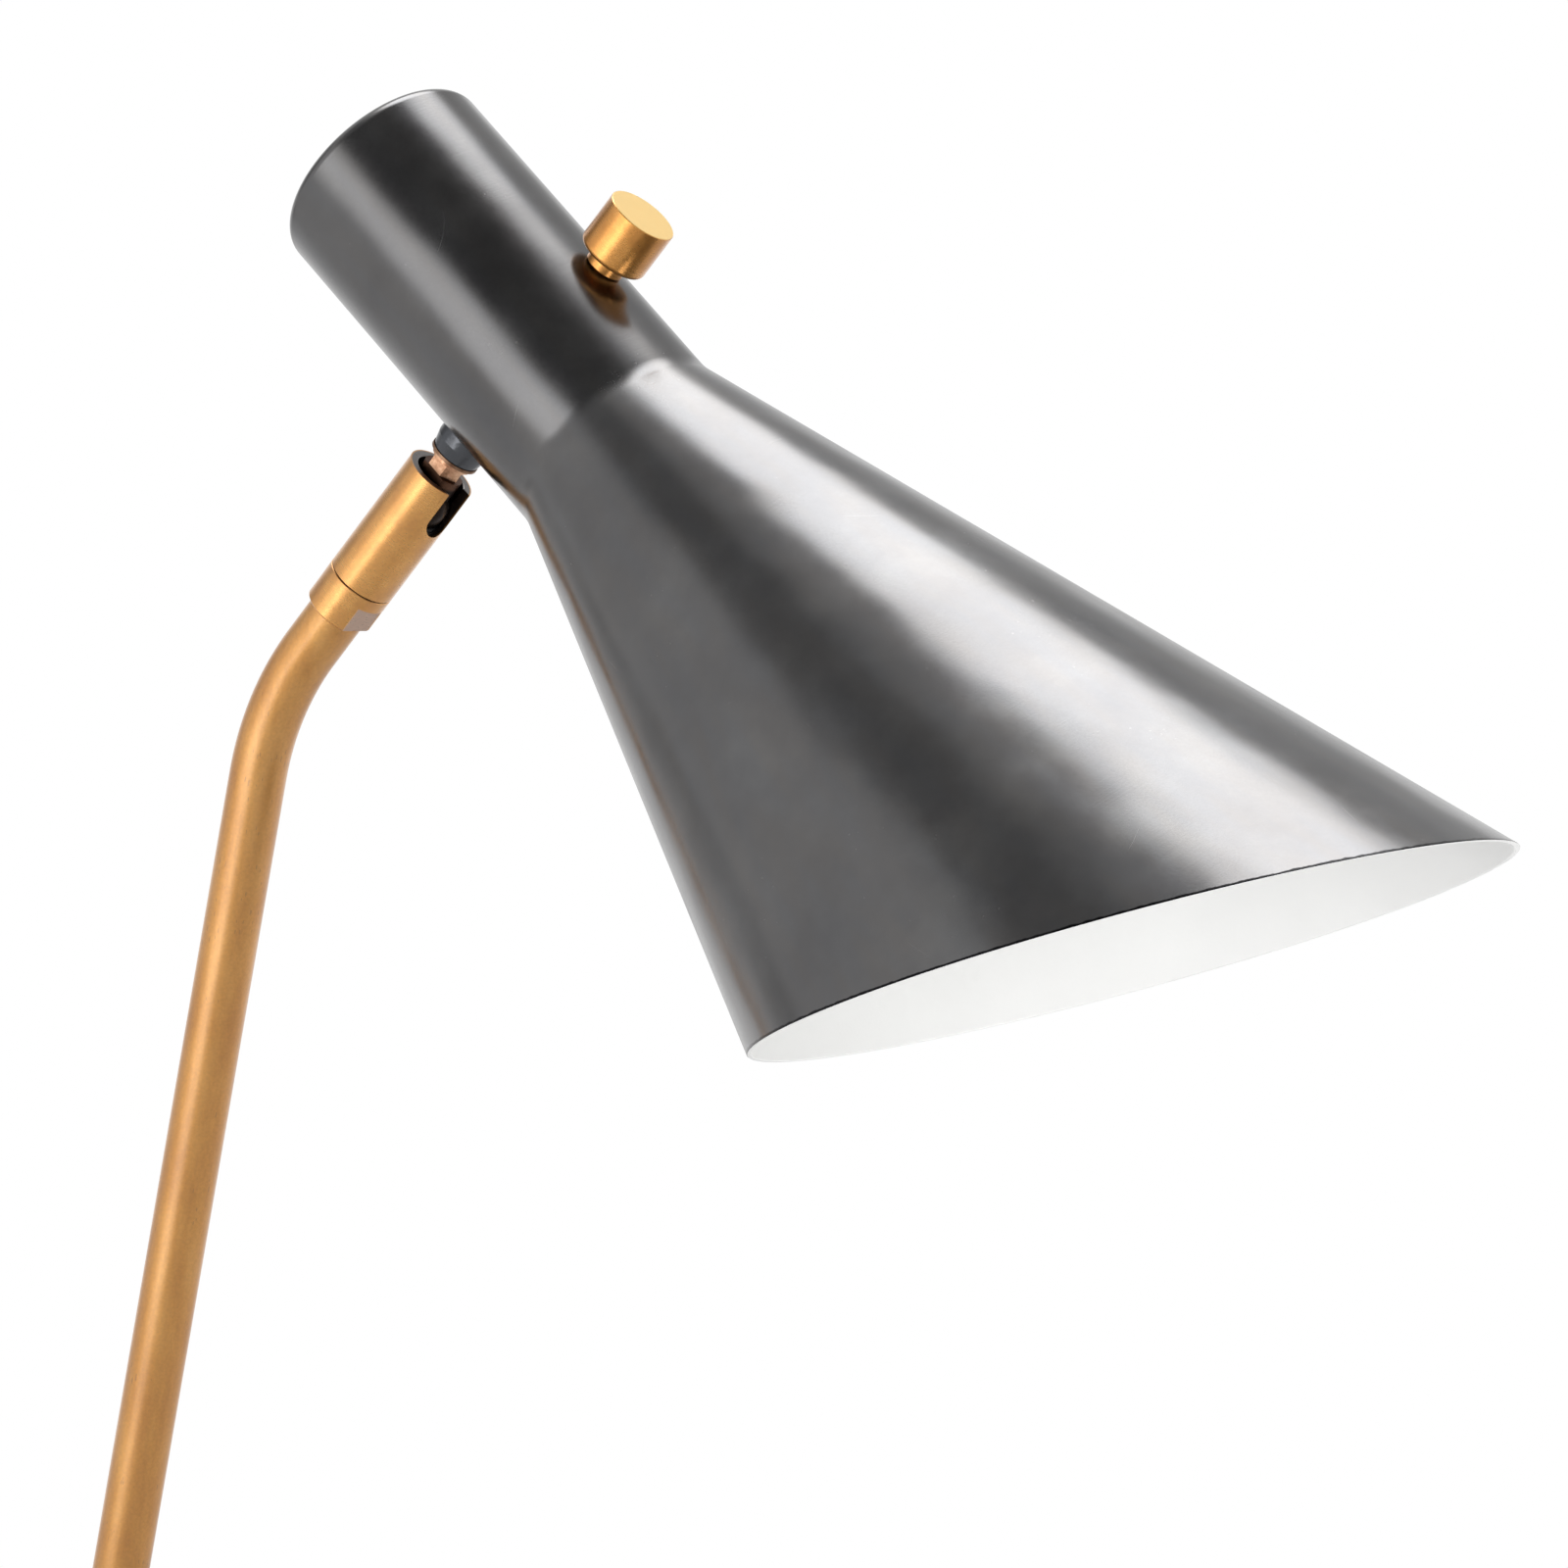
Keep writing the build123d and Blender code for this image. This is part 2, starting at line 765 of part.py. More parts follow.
bulb_cap = turned(
    neck_line,
    (cap_back, cap_back_radius),
    (cap_shoulder, cap_radius),
    (cap_front, cap_radius),
    (cap_front, cap_radius - cap_wall),
    (cap_shoulder + cap_wall / 2, cap_radius - cap_wall),
    (cap_back + cap_wall, cap_back_radius),
)


with BuildPart() as bulb_globe:
    for inset, mode in ((0, Mode.ADD), (globe_wall, Mode.SUBTRACT)):
        stalk = stalk_radius - inset
        crown = globe_radius - inset
        with BuildSketch(neck_line):
            with BuildLine():
                Polyline((globe_centre, 0), (globe_back, 0), (globe_back, stalk), (stalk_end, stalk))
                TangentArc((globe_centre, crown), (stalk_end, stalk), tangent=(-1, 0))
                RadiusArc((globe_centre, crown), (globe_centre + crown, 0), crown)
                Line((globe_centre + crown, 0), (globe_centre, 0))
            make_face()
        revolve(axis=Axis(neck_line.origin, neck_line.x_dir), mode=mode)

pieces = {
    "base_pad": base_pad,
    "base_weight": base_weight,
    "base_cover": base_cover,
    "cord_grommet": cord_grommet,
    "base_washer": base_washer,
    "lock_washer": lock_washer,
    "base_nut": base_nut,
    "stem_nipple": stem_nipple,
    "stem_collar": stem_collar,
    "stem": stem,
    "stem_lead": stem_lead,
    "ferrule": ferrule,
    "swivel_washer": swivel_washer,
    "friction_washer": friction_washer,
    "spigot_nut": spigot_nut,
    "barrel": barrel,
    "barrel_plug": barrel_plug,
    "ball_seat": ball_seat,
    "disc_springs": disc_springs,
    "seat_ring": seat_ring,
    "swivel_lead": swivel_lead,
    "ball_stud": ball_stud,
    "stud_ring": stud_ring,
    "neck_collar": neck_collar,
    "saddle_washer": saddle_washer,
    "stud_nut": stud_nut,
    "head_lead": head_lead,
    "shade": shade,
    "socket_bracket": socket_bracket,
    "socket_screws": socket_screws,
    "socket_leads": socket_leads,
    "lampholder": lampholder,
    "socket_shell": socket_shell,
    "centre_contact": centre_contact,
    "bulb_contact": bulb_contact,
    "bulb_insulator": bulb_insulator,
    "bulb_cap": bulb_cap,
    "bulb_globe": bulb_globe,
    "switch_body": switch_body,
    "switch_bush": switch_bush,
    "switch_inner_nut": switch_inner_nut,
    "switch_nut": switch_nut,
    "knob_spindle": knob_spindle,
    "knob": knob,
    "knob_grub_screw": knob_grub_screw,
}

os.makedirs("parts", exist_ok=True)
for label, piece in pieces.items():
    piece.part.label = label
    export_step(piece.part, f"parts/{label}.step")
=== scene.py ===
import json
from math import acos, cos, hypot, pi, radians, sin, tan

import bmesh
import bpy
from mathutils import Matrix, Vector


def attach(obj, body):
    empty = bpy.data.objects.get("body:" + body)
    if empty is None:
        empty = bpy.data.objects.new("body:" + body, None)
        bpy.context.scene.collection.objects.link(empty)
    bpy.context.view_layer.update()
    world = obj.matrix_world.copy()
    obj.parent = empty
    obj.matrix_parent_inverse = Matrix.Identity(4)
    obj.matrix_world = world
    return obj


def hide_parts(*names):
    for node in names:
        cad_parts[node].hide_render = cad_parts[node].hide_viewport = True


# The looks of the desk lamp. Metres, in the frame's own axes: +Z up, +X the way the shade points.

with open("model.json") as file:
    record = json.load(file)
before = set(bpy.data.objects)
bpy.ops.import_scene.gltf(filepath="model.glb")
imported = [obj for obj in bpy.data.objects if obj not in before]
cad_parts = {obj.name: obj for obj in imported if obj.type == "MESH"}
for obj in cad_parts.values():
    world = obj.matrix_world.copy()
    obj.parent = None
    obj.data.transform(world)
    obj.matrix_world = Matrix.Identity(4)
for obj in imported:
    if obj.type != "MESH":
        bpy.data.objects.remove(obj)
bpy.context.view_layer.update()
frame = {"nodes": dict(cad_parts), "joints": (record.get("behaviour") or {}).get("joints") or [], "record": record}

mm = 0.001
sharp_angle = radians(30)
on_axis = 1e-7

# ---- The lamp's own lines ----
# A line is a matrix: its Z runs along the line, its Y is the lamp's Y, and its X is square to both.


def line(origin, axis):
    side = Vector((axis.z, 0, -axis.x))
    turn = Matrix((side, Vector((0, 1, 0)), axis)).transposed()
    return Matrix.Translation(origin) @ turn.to_4x4()


def stations(node, place):
    """Where a CAD node starts and ends along a line, and how far from the line it reaches."""
    inward = place.inverted()
    local = [inward @ vertex.co for vertex in frame["nodes"][node].data.vertices]
    heights = [point.z for point in local]
    return min(heights), max(heights), max(hypot(point.x, point.y) for point in local)


joints = {joint["name"]: joint for joint in frame["joints"]}
ball = Vector(joints["head_tilt"]["pos_m"])
up_arm = Vector(joints["barrel_swivel"]["axis"]).normalized()
along_neck = Vector((up_arm.z, 0, -up_arm.x))
ball_to_neck = 44.4 * mm
neck_centre = ball + up_arm * ball_to_neck

lean = radians(13.96)
foot = Vector((-60 * mm, 0, 0))
stem_way = Vector((sin(lean), 0, cos(lean)))

stem_line = line(foot, stem_way)
swivel_line = line(ball, up_arm)
knob_line = line(Vector(joints["knob_turn"]["pos_m"]), up_arm)
neck_line = line(neck_centre, along_neck)
base_line = Matrix.Identity(4)


# ---- Mesh making ----


def rounded(*corners, steps):
    """An outline of (radius, along, corner radius) points with its corners turned into arcs."""
    points = [Vector(corner[:2]) for corner in corners]
    outline = [points[0]]
    for before, corner, after, given in zip(points, points[1:], points[2:], corners[1:]):
        size = given[2] if len(given) > 2 else 0
        if not size:
            outline.append(corner)
            continue
        to_before = (before - corner).normalized()
        to_after = (after - corner).normalized()
        half = acos(max(-1, min(1, to_before.dot(to_after)))) / 2
        centre = corner + (to_before + to_after).normalized() * size / sin(half)
        start = corner + to_before * size / tan(half) - centre
        turn = pi - 2 * half
        sense = 1 if to_before.x * to_after.y - to_before.y * to_after.x < 0 else -1
        for step in range(steps + 1):
            angle = sense * turn * step / steps
            outline.append(centre + Matrix.Rotation(angle, 2) @ start)
    outline.append(points[-1])
    return outline


def finished(maker, name):
    """The mesh maker's mesh as a piece in the scene, smooth apart from its sharp edges."""
    bmesh.ops.recalc_face_normals(maker, faces=maker.faces)
    mesh = bpy.data.meshes.new(name)
    maker.to_mesh(mesh)
    maker.free()
    mesh.polygons.foreach_set("use_smooth", [True] * len(mesh.polygons))
    mesh.set_sharp_from_angle(angle=sharp_angle)
    piece = bpy.data.objects.new(name, mesh)
    bpy.context.scene.collection.objects.link(piece)
    return piece


def grid(maker, rows, closed=False):
    """Faces between rows of corners that run round a piece. A row of one corner is a pole."""
    pairs = list(zip(rows, rows[1:]))
    if closed:
        pairs.append((rows[-1], rows[0]))
    faces = []
    for lower, upper in pairs:
        count = max(len(lower), len(upper))
        for step in range(count):
            after = (step + 1) % count
            ring = [lower[step % len(lower)], lower[after % len(lower)]]
            ring += [upper[after % len(upper)], upper[step % len(upper)]]
            faces.append(maker.faces.new(list(dict.fromkeys(ring))))
    return faces


def circle(maker, place, radius, around, along=0.0):
    """A ring of corners about a line, or a single corner on it."""
    count = around if radius > on_axis else 1
    angles = [2 * pi * step / count for step in range(count)]
    ring = [place @ Vector((radius * cos(a), radius * sin(a), along)) for a in angles]
    return [maker.verts.new(corner) for corner in ring]


def softened(piece, width):
    """Fine rounded edges."""
    bevel = piece.modifiers.new("edges", "BEVEL")
    bevel.width = width
    bevel.segments = 3
    bevel.limit_method = "ANGLE"
    bevel.angle_limit = sharp_angle
    bevel.harden_normals = True
    return piece


# ---- Materials ----
# The scales of noises and cells are per metre, and station means a distance along a line.


class Finish:
    """A material whose node tree is put together with short calls."""

    def __init__(self, name, **sockets):
        self.material = bpy.data.materials.new(name)
        self.material.use_nodes = True
        self.tree = self.material.node_tree
        self.shader = self.tree.nodes["Principled BSDF"]
        for socket, value in sockets.items():
            self.shader.inputs[socket.replace("_", " ").title()].default_value = value
        self.place = self.add("ShaderNodeTexCoord").outputs["Object"]

    def add(self, kind, inputs=None, **settings):
        node = self.tree.nodes.new(kind)
        for setting, value in settings.items():
            setattr(node, setting, value)
        for socket, value in (inputs or {}).items():
            self.feed(node.inputs[socket], value)
        return node

    def feed(self, socket, value):
        if isinstance(value, bpy.types.NodeSocket):
            self.tree.links.new(value, socket)
        else:
            socket.default_value = value

    def about(self, place):
        """Coordinates that run along a line of the lamp."""
        mapping = self.add("ShaderNodeMapping", {"Vector": self.place}, vector_type="TEXTURE")
        mapping.inputs["Location"].default_value = place.to_translation()
        mapping.inputs["Rotation"].default_value = place.to_euler()
        return mapping.outputs["Vector"]

    def stretched(self, vector, scale):
        mapping = self.add("ShaderNodeMapping", {"Vector": vector, "Scale": scale})
        return mapping.outputs["Vector"]

    def noise(self, scale, vector=None, detail=3.0, roughness=0.5, distortion=0.0):
        inputs = {"Vector": vector or self.place, "Scale": scale, "Detail": detail}
        inputs.update({"Roughness": roughness, "Distortion": distortion})
        return self.add("ShaderNodeTexNoise", inputs).outputs["Fac"]

    def cells(self, scale, vector=None):
        inputs = {"Vector": vector or self.place, "Scale": scale}
        return self.add("ShaderNodeTexVoronoi", inputs).outputs["Distance"]

    def ranged(self, value, low, high, to_low, to_high, smooth=False):
        inputs = {0: value, 1: low, 2: high, 3: to_low, 4: to_high}
        kind = "SMOOTHSTEP" if smooth else "LINEAR"
        return self.add("ShaderNodeMapRange", inputs, interpolation_type=kind).outputs[0]

    def maths(self, operation, first, second=0.0):
        return self.add("ShaderNodeMath", {0: first, 1: second}, operation=operation).outputs[0]

    def vector_maths(self, operation, first, second=(0.0, 0.0, 0.0), out="Vector"):
        node = self.add("ShaderNodeVectorMath", {0: first, 1: second}, operation=operation)
        return node.outputs[out]

    def colours(self, value, *stops):
        ramp = self.add("ShaderNodeValToRGB", {0: value})
        elements = ramp.color_ramp.elements
        while len(elements) < len(stops):
            elements.new(0.5)
        for element, (position, colour) in zip(elements, stops):
            element.position = position
            element.color = (*colour, 1)
        return ramp.outputs["Color"]

    def blended(self, factor, first, second, kind="MIX"):
        mix = self.add("ShaderNodeMix", {0: factor}, data_type="RGBA", blend_type=kind)
        self.feed(mix.inputs[6], first)
        self.feed(mix.inputs[7], second)
        return mix.outputs[2]

    def bump(self, height, distance, under=None):
        inputs = {"Height": height, "Distance": distance, "Strength": 1.0}
        if under:
            inputs["Normal"] = under
        return self.add("ShaderNodeBump", inputs).outputs["Normal"]

    def wire(self, **sockets):
        for socket, value in sockets.items():
            self.feed(self.shader.inputs[socket.replace("_", " ").title()], value)
        return self.material


def blackened_metal(name, place, red=1.0, green=1.0, blue=1.0, dents=0.0, waves=0.0, mouth=None):
    """Dark gunmetal with soft blotches, faint streaks along a line, fine turning marks, and a few
    pale specks and hair scratches. Red, green and blue tint it, and dents and waves are how deep
    its fine and its broad unevenness are. The coat is black along the edge of a mouth, which is
    given as a point in it and the way out of it."""
    finish = Finish(name, Metallic=1.0)
    turned = finish.about(place)
    blotches = finish.noise(38, detail=5.0, roughness=0.62)
    clouds = finish.noise(9, detail=2.0)
    grain = finish.noise(2600, detail=2.0)
    marks = finish.noise(1.0, finish.stretched(turned, (60, 60, 2400)), detail=2.0)
    fine_part = finish.maths("MULTIPLY", blotches, 0.6)
    broad_part = finish.maths("MULTIPLY", clouds, 0.4)
    tone = finish.maths("ADD", fine_part, broad_part)
    body = finish.colours(
        tone,
        (0.30, (0.131 * red, 0.128 * green, 0.131 * blue)),
        (0.52, (0.161 * red, 0.158 * green, 0.160 * blue)),
        (0.72, (0.200 * red, 0.198 * green, 0.198 * blue)),
    )
    streaks = finish.noise(1.0, finish.stretched(turned, (160, 160, 12)), detail=3.0)
    tint = finish.colours(streaks, (0.36, (0.975, 0.99, 1.0)), (0.64, (1.0, 0.99, 0.97)))
    body = finish.blended(1.0, body, tint, "MULTIPLY")
    speck_reach = finish.ranged(finish.noise(45, detail=1.0), 0.52, 0.7, 0.0, 0.12)
    specks = finish.maths("LESS_THAN", finish.cells(420), speck_reach)
    ridges = finish.noise(1.0, finish.stretched(turned, (30, 22, 26)), detail=0.0)
    across = finish.maths("ABSOLUTE", finish.maths("SUBTRACT", ridges, 0.5))
    where = finish.ranged(finish.noise(70, detail=1.0), 0.64, 0.72, 0.0, 0.002)
    scratches = finish.maths("LESS_THAN", across, where)
    worn = finish.maths("MULTIPLY", finish.maths("MAXIMUM", specks, scratches), 0.12)
    colour = finish.blended(worn, body, (0.42, 0.42, 0.41, 1))
    if mouth:
        point, outward = mouth
        away = finish.vector_maths("SUBTRACT", finish.place, point)
        inside = finish.vector_maths("DOT_PRODUCT", away, outward, out="Value")
        ragged = finish.ranged(finish.noise(500, detail=2.0), 0.3, 0.7, -0.12 * mm, 0.12 * mm)
        depth = finish.maths("ADD", inside, ragged)
        black_edge = finish.ranged(depth, -0.62 * mm, -0.42 * mm, 0.0, 1.0, smooth=True)
        colour = finish.blended(black_edge, colour, (0.012, 0.012, 0.013, 1))
    rough = finish.ranged(blotches, 0.3, 0.7, 0.17, 0.25)
    rough = finish.maths("ADD", rough, finish.ranged(grain, 0.3, 0.7, -0.02, 0.03))
    rough = finish.maths("ADD", rough, finish.maths("MULTIPLY", worn, 0.5))
    fine = finish.bump(grain, 0.004 * mm)
    lines = finish.bump(marks, 0.004 * mm, under=fine)
    if dents:
        lines = finish.bump(finish.noise(420, detail=4.0), dents, under=lines)
    if waves:
        swell = finish.noise(1.0, finish.stretched(turned, (34, 34, 15)), detail=2.0)
        lines = finish.bump(swell, waves, under=lines)
    return finish.wire(base_color=colour, roughness=rough, normal=lines)


def white_enamel(name):
    """The sprayed white inside of the shade."""
    finish = Finish(name, Roughness=0.35)
    mottle = finish.noise(30, detail=3.0)
    spray = finish.noise(1500, detail=2.0)
    colour = finish.colours(mottle, (0.3, (0.86, 0.86, 0.85)), (0.7, (0.90, 0.90, 0.89)))
    rough = finish.ranged(spray, 0.3, 0.7, 0.3, 0.45)
    return finish.wire(base_color=colour, roughness=rough, normal=finish.bump(spray, 0.02 * mm))


def aged_brass(
    name, place, spots, polish, red, gold, lacquer, lengthwise=False,
    bore=None, bore_colour=(0.035, 0.016, 0.008), face=None,
):
    """Lacquered brass, brushed along or round a line, with tarnish blotches and fine dark specks.
    Red and gold scale the alloy's red and green, and lacquer is its coat's refractive index. Inside
    a bore radius it takes the bore colour: by default painted shade down the barrel's bore, and on
    the ferrule a duller brass on its flats. A face is the station of a top end that is rougher and
    painted pale gold as a painted highlight."""
    finish = Finish(name, Metallic=0.88, Coat_weight=1.0, Coat_roughness=0.28)
    finish.shader.inputs["Coat IOR"].default_value = lacquer
    turned = finish.about(place)
    scale = (2400, 2400, 60) if lengthwise else (700, 700, 5000)
    brushing = finish.noise(1.0, finish.stretched(turned, scale), detail=3.0)
    drawn = finish.stretched(turned, (1, 1, 0.25 if lengthwise else 1))
    blotches = finish.noise(160, drawn, detail=4.0, roughness=0.6)
    speck_cells = finish.cells(1100, drawn)
    speck_fade = finish.noise(90, detail=2.0)
    reach = finish.ranged(speck_fade, 0.45, 0.7, 0.0, 0.45 * spots)
    specks = finish.maths("LESS_THAN", speck_cells, reach)
    body = finish.colours(
        blotches,
        (0.28, (0.60 * red, 0.225 * gold, 0.032)),
        (0.50, (0.70 * red, 0.285 * gold, 0.048)),
        (0.74, (0.79 * red, 0.350 * gold, 0.080)),
    )
    colour = finish.blended(finish.maths("MULTIPLY", specks, 0.4), body, (0.30, 0.13, 0.04, 1))
    grain = finish.colours(
        finish.noise(1500, detail=3.0), (0.34, (0.90, 0.89, 0.87)), (0.66, (1.0, 1.0, 1.0))
    )
    colour = finish.blended(1.0, colour, grain, "MULTIPLY")
    rough = finish.ranged(brushing, 0.3, 0.7, 0.33 - polish, 0.40 - polish)
    rough = finish.maths("ADD", rough, finish.ranged(blotches, 0.3, 0.7, 0.04, -0.03))
    parts = finish.add("ShaderNodeSeparateXYZ", {0: turned}).outputs
    # At its default colour this is painted shade down the barrel's bore; the ferrule passes a duller brass for its
    # flats.
    if bore:
        across = finish.add("ShaderNodeCombineXYZ", {0: parts[0], 1: parts[1]}).outputs[0]
        radius = finish.vector_maths("LENGTH", across, out="Value")
        inside = finish.ranged(radius, bore, bore - 0.25 * mm, 0.0, 1.0, smooth=True)
        colour = finish.blended(inside, colour, (*bore_colour, 1))
    # The top end is rougher, and it is painted pale gold as a painted highlight where the light catches it.
    if face:
        matt_top_and_highlight = finish.ranged(parts[2], face - 0.1 * mm, face, 0.0, 1.0, smooth=True)
        rough = finish.maths("ADD", rough, finish.maths("MULTIPLY", matt_top_and_highlight, 0.3))
        colour = finish.blended(matt_top_and_highlight, colour, (0.96, 0.68, 0.24, 1))
    return finish.wire(base_color=colour, roughness=rough, normal=finish.bump(brushing, 0.0005 * mm))


def raw_brass(name, place, depth=1.0, bright_end=None):
    """Coppery machined brass with tool marks and stains. A depth under one is a darker brass, and
    below the bright end's station it is painted brown and then nearly black, as painted shade where
    the stud goes down inside the barrel."""
    finish = Finish(name, Metallic=1.0)
    turned = finish.about(place)
    marks = finish.noise(1.0, finish.stretched(turned, (120, 120, 2600)), detail=3.0)
    stains = finish.noise(420, detail=4.0, roughness=0.7)
    colour = finish.colours(
        stains,
        (0.30, (0.34 * depth, 0.15 * depth, 0.08 * depth)),
        (0.48, (0.68 * depth, 0.38 * depth, 0.23 * depth)),
        (0.68, (0.90 * depth, 0.58 * depth, 0.38 * depth)),
    )
    # Painted shade: below the bright end the stud is painted brown, then nearly black, where it sits inside the
    # barrel.
    if bright_end is not None:
        along = finish.add("ShaderNodeSeparateXYZ", {0: turned}).outputs[2]
        brown = finish.ranged(along, bright_end, bright_end - 0.2 * mm, 0.0, 1.0, smooth=True)
        colour = finish.blended(brown, colour, (0.13, 0.065, 0.04, 1))
        black_from, black_to = bright_end - 1.5 * mm, bright_end - 2.5 * mm
        black = finish.ranged(along, black_from, black_to, 0.0, 1.0, smooth=True)
        colour = finish.blended(black, colour, (0.022, 0.014, 0.011, 1))
    rough = finish.ranged(stains, 0.3, 0.7, 0.5, 0.3)
    return finish.wire(base_color=colour, roughness=rough, normal=finish.bump(marks, 0.02 * mm))


def zinc_steel(name):
    """Zinc plating with its crystal mottling."""
    finish = Finish(name, Metallic=1.0)
    crystals = finish.cells(500)
    grain = finish.noise(1500, detail=3.0)
    colour = finish.colours(crystals, (0.1, (0.52, 0.53, 0.55)), (0.7, (0.66, 0.66, 0.65)))
    rough = finish.ranged(grain, 0.3, 0.7, 0.28, 0.45)
    return finish.wire(base_color=colour, roughness=rough, normal=finish.bump(grain, 0.01 * mm))


def cast_iron(name):
    """Rough cast iron under a thin black coat."""
    finish = Finish(name, Metallic=0.6)
    pits = finish.noise(700, detail=5.0, roughness=0.65)
    colour = finish.colours(pits, (0.3, (0.03, 0.03, 0.032)), (0.7, (0.085, 0.083, 0.08)))
    rough = finish.ranged(pits, 0.3, 0.7, 0.7, 0.55)
    return finish.wire(base_color=colour, roughness=rough, normal=finish.bump(pits, 0.3 * mm))


def felt(name):
    """Black wool felt."""
    finish = Finish(name, Sheen_weight=0.4, Sheen_roughness=0.6)
    drawn = finish.stretched(finish.place, (900, 2600, 900))
    fibres = finish.noise(1.0, drawn, detail=5.0, distortion=1.5)
    colour = finish.colours(fibres, (0.3, (0.012, 0.012, 0.012)), (0.75, (0.05, 0.05, 0.052)))
    rough = finish.ranged(fibres, 0.3, 0.7, 0.85, 1.0)
    return finish.wire(base_color=colour, roughness=rough, normal=finish.bump(fibres, 0.15 * mm))


def black_nylon(name):
    """Moulded black plastic with a fine grain."""
    finish = Finish(name)
    grain = finish.noise(2200, detail=2.0)
    colour = finish.colours(grain, (0.3, (0.016, 0.016, 0.017)), (0.7, (0.03, 0.03, 0.031)))
    rough = finish.ranged(grain, 0.3, 0.7, 0.38, 0.55)
    return finish.wire(base_color=colour, roughness=rough, normal=finish.bump(grain, 0.02 * mm))


def lead_sleeve(name):
    """The lead's soft black sleeve."""
    finish = Finish(name)
    scuffs = finish.noise(600, detail=4.0)
    colour = finish.colours(scuffs, (0.3, (0.02, 0.02, 0.02)), (0.7, (0.045, 0.044, 0.043)))
    rough = finish.ranged(scuffs, 0.3, 0.7, 0.45, 0.65)
    return finish.wire(base_color=colour, roughness=rough, normal=finish.bump(scuffs, 0.03 * mm))


def white_porcelain(name):
    """Glazed porcelain with a slight unevenness in its glaze."""
    finish = Finish(name, Coat_weight=0.7, Coat_roughness=0.08)
    glaze = finish.noise(180, detail=2.0)
    colour = finish.colours(glaze, (0.3, (0.80, 0.79, 0.75)), (0.7, (0.88, 0.87, 0.84)))
    rough = finish.ranged(glaze, 0.3, 0.7, 0.2, 0.35)
    return finish.wire(base_color=colour, roughness=rough, normal=finish.bump(glaze, 0.05 * mm))


def opal_glass(name):
    """Opal glass: white and faintly uneven, with a soft gloss."""
    finish = Finish(name, Subsurface_weight=0.3, Subsurface_scale=0.004, Coat_weight=0.3)
    haze = finish.noise(70, detail=2.0)
    colour = finish.colours(haze, (0.3, (0.86, 0.86, 0.84)), (0.7, (0.92, 0.92, 0.90)))
    rough = finish.ranged(haze, 0.3, 0.7, 0.22, 0.32)
    return finish.wire(base_color=colour, roughness=rough)


base_black = blackened_metal("blackened_base", base_line)
collar_black = blackened_metal(
    "blackened_collar", swivel_line, red=0.66, green=0.7, blue=0.76, dents=0.12 * mm
)
enamel = white_enamel("white_enamel")
stem_brass = aged_brass(
    "stem_brass", stem_line, spots=0.6, polish=-0.1, red=1.0, gold=1.11, lacquer=1.75, lengthwise=True
)
swivel_look = {"spots": 0.0, "polish": 0.07, "red": 1.12, "gold": 1.23, "lacquer": 1.85}
# Inside this radius the barrel's bore is painted near black as painted shade.
shaded_bore_radius = 7.6 * mm
ferrule_flats = stations("ferrule", swivel_line)[2] - 0.08 * mm
swivel_brass = aged_brass("swivel_brass", swivel_line, **swivel_look)
barrel_brass = aged_brass("barrel_brass", swivel_line, bore=shaded_bore_radius, **swivel_look)
ferrule_brass = aged_brass(
    "ferrule_brass", swivel_line, bore=ferrule_flats, bore_colour=(0.46, 0.26, 0.155), **swivel_look
)
# The station of the knob's top end, which is painted pale gold there as a painted highlight.
knob_face = stations("knob", knob_line)[1] - 0.05 * mm
knob_brass = aged_brass(
    "knob_brass", knob_line, spots=0.1, polish=0.08, red=1.05, gold=1.10, lacquer=1.53, face=knob_face
)
copper_brass = raw_brass("raw_brass", swivel_line)
# Below this station the stud is painted dark as painted shade inside the barrel.
stud_hexagon_end = 9.3 * mm
stud_brass = raw_brass("stud_brass", swivel_line, bright_end=stud_hexagon_end)
ring_brass = raw_brass("ring_brass", swivel_line, depth=0.4)
zinc = zinc_steel("zinc_steel")
iron = cast_iron("cast_iron")
wool = felt("felt")
nylon = black_nylon("black_nylon")
sleeve = lead_sleeve("lead_sleeve")
porcelain = white_porcelain("white_porcelain")
opal = opal_glass("opal_glass")

slot_materials = {
    "blackened_metal": base_black,
    "aged_brass": swivel_brass,
    "raw_brass": copper_brass,
    "zinc_steel": zinc,
    "cast_iron": iron,
    "felt": wool,
    "black_nylon": nylon,
    "lead_sleeve": sleeve,
    "white_porcelain": porcelain,
    "opal_glass": opal,
}
own_materials = {
    "barrel": barrel_brass,
    "ferrule": ferrule_brass,
    "knob": knob_brass,
    "switch_nut": knob_brass,
    "switch_bush": knob_brass,
    "stem_collar": stem_brass,
    "neck_collar": collar_black,
    "ball_stud": stud_brass,
    "stud_ring": ring_brass,
}
for subpart in frame["record"]["subparts"]:
    node = subpart["node"]
    mesh = frame["nodes"][node].data
    mesh.materials.clear()
    mesh.materials.append(own_materials.get(node) or slot_materials[subpart["material_slot"]])


def dress(piece, material, body, slot, *nodes):
    """Gives a piece its material and the body it rides on, and hides the CAD nodes it stands for."""
    piece.data.materials.append(material)
    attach(piece, body)
    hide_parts(*nodes)
    return piece


# ---- Shade ----

neck_radius = 25.0 * mm
neck_front = 30.93 * mm
cone_angle = radians(16.34)
long_side = 214.6 * mm
short_side = 128.45 * mm
shade_wall = 1.0 * mm
neck_edge = 3.0 * mm
cone_blend = 14.0 * mm
shade_around = 320
cone_rows = 60
along_side = 100 * mm
edge_bevel = 0.25 * mm
shade_waves = 0.8 * mm

neck_back = stations("shade", neck_line)[0]


def lip(side, slant):
    """Where the shade's edge lies, as (radius, along), on a slant of that length."""
    radius = side * (neck_radius + slant * sin(cone_angle))
    return Vector((radius, neck_front + slant * cos(cone_angle)))


